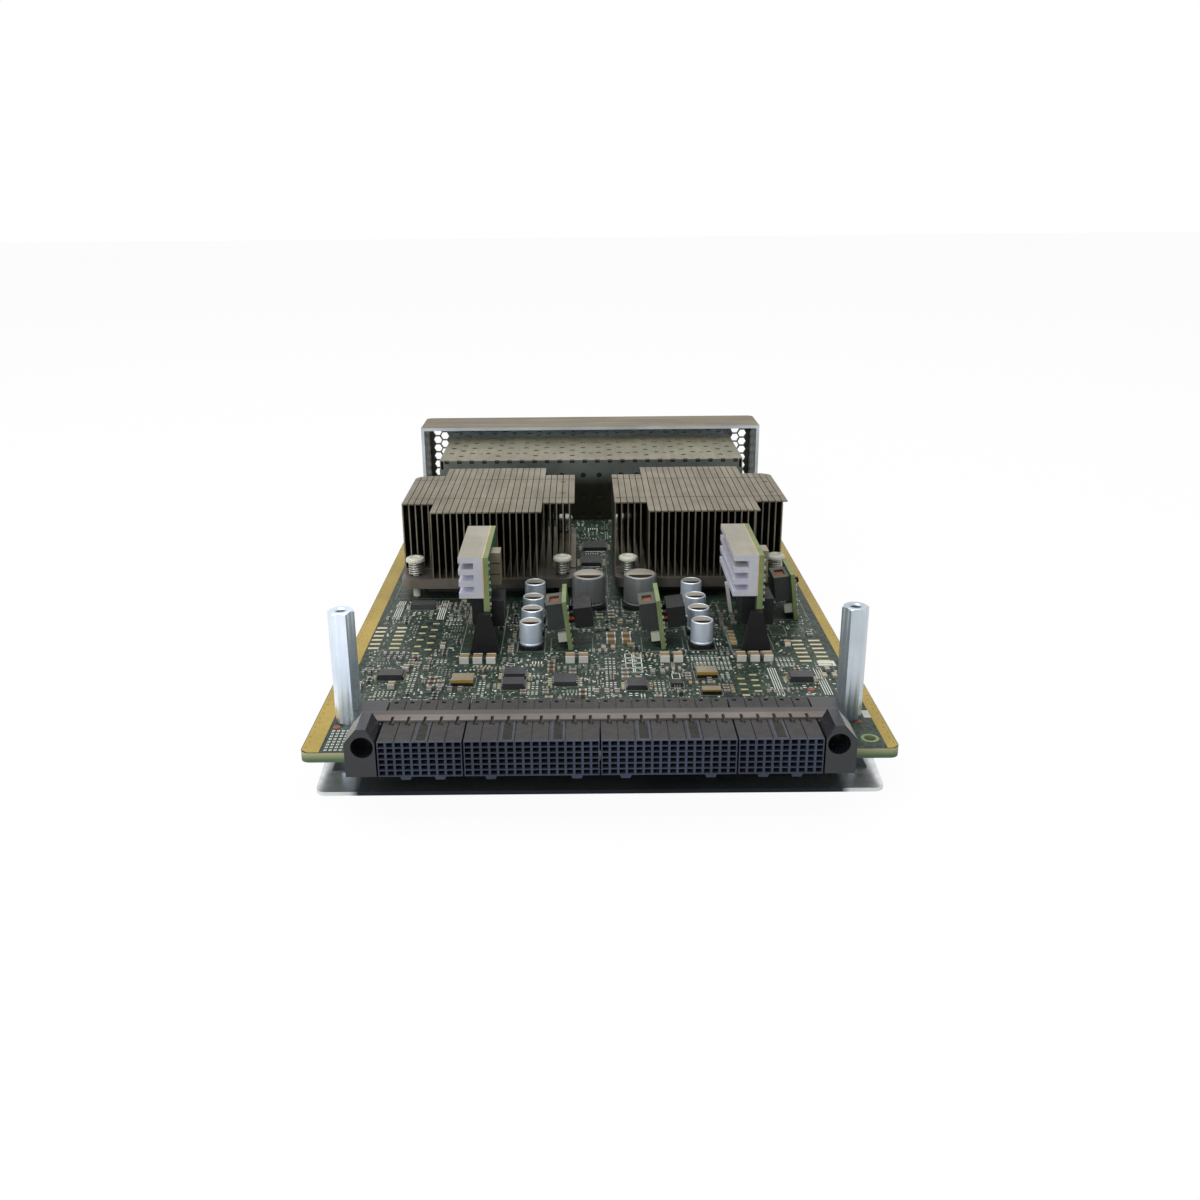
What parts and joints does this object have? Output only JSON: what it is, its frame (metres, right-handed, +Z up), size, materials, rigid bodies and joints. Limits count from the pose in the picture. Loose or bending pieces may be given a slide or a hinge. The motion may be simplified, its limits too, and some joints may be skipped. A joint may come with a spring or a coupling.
{
  "type": "switch expansion module",
  "caption": "Plug-in switch board on a tray, with a stacked port cage behind a folded faceplate, finned heat sinks and a right-angle backplane connector.",
  "frame": {"origin": "middle of the footprint, on the underside of the tray", "axes": "+Y runs from the backplane connector to the faceplate, +Z is up from the tray to the heat sinks"},
  "size_m": [0.1386, 0.2784, 0.0393],
  "materials": {
    "board": "solder-masked glass-fibre board",
    "panel_sheet": "folded sheet with a warm plated finish",
    "plated_sheet": "plated sheet",
    "dark_film": "insulating film",
    "zinc_steel": "zinc-plated fastener",
    "spring_steel": "spring wire and thin sprung sheet",
    "cage_metal": "plated thin sheet",
    "black_plastic": "moulded",
    "slate_plastic": "moulded",
    "white_plastic": "moulded",
    "chip_package": "moulded package",
    "sink_metal": "plated folded fins",
    "bright_aluminium": "extruded",
    "ferrite": "pressed ferrite core",
    "can_metal": "can with a printed sleeve",
    "gold_lid": "gold-plated lid",
    "brown_ceramic": "ceramic body with tinned ends"
  },
  "bodies": {
    "module": {"board_screws": "zinc_steel", "bottom_tray": "plated_sheet", "cage_dividers": "cage_metal", "cage_floor": "cage_metal", "cage_gasket": "spring_steel", "cage_rear_cover": "cage_metal", "cage_shell": "cage_metal", "captive_ferrule_left": "zinc_steel", "captive_ferrule_right": "zinc_steel", "captive_spring_left": "spring_steel", "captive_spring_right": "spring_steel", "ceramic_capacitors": "brown_ceramic", "connector_stiffener": "zinc_steel", "contact_module_1": "slate_plastic", "contact_module_2": "slate_plastic", "contact_module_3": "slate_plastic", "contact_module_4": "slate_plastic", "faceplate": "panel_sheet", "guide_block_left": "black_plastic", "guide_block_right": "black_plastic", "heat_sink_base_left": "sink_metal", "heat_sink_base_right": "sink_metal", "heat_sink_fins_left": "sink_metal", "heat_sink_fins_right": "sink_metal", "large_capacitors": "can_metal", "main_board": "board", "oscillators": "gold_lid", "port_connectors": "black_plastic", "port_separators": "cage_metal", "power_left_board": "board", "power_left_capacitors": "brown_ceramic", "power_left_heat_sink": "bright_aluminium", "power_left_magnetics": "black_plastic", "power_left_support": "black_plastic", "power_right_board": "board", "power_right_capacitors": "brown_ceramic", "power_right_heat_sink": "bright_aluminium", "power_right_magnetics": "black_plastic", "power_right_support": "black_plastic", "push_pin_springs": "spring_steel", "push_pins": "white_plastic", "regulator_boards": "board", "regulator_chokes": "ferrite", "regulator_inductors": "black_plastic", "small_capacitors_left": "can_metal", "small_capacitors_right": "can_metal", "small_chips": "chip_package", "standoff_left": "zinc_steel", "standoff_right": "zinc_steel", "switch_chip_left": "chip_package", "switch_chip_right": "chip_package", "tray_film": "dark_film", "tray_spacers": "zinc_steel"},
    "catch_left": {"retaining_ring_left": "zinc_steel"},
    "catch_right": {"retaining_ring_right": "zinc_steel"},
    "thumbscrew_left": {"captive_screw_left": "zinc_steel"},
    "thumbscrew_right": {"captive_screw_right": "zinc_steel"}
  },
  "joints": [
    {"name": "catch_slide_left", "type": "slide", "parent": "module", "child": "catch_left", "axis": [0, -1, 0], "range_m": [0, 0.0045], "stiffness_N_per_m": 300, "springref_m": -0.003, "deforming": ["captive_spring_left"]},
    {"name": "catch_slide_right", "type": "slide", "parent": "module", "child": "catch_right", "axis": [0, -1, 0], "range_m": [0, 0.0045], "stiffness_N_per_m": 300, "springref_m": -0.003, "deforming": ["captive_spring_right"]},
    {"name": "thumbscrew_turn_left", "type": "hinge", "parent": "catch_left", "child": "thumbscrew_left", "pos_m": [-0.0633, 0.12185, 0.0052], "axis": [0, 1, 0], "continuous": true},
    {"name": "thumbscrew_turn_right", "type": "hinge", "parent": "catch_right", "child": "thumbscrew_right", "pos_m": [0.0633, 0.12185, 0.0052], "axis": [0, 1, 0], "continuous": true}
  ]
}
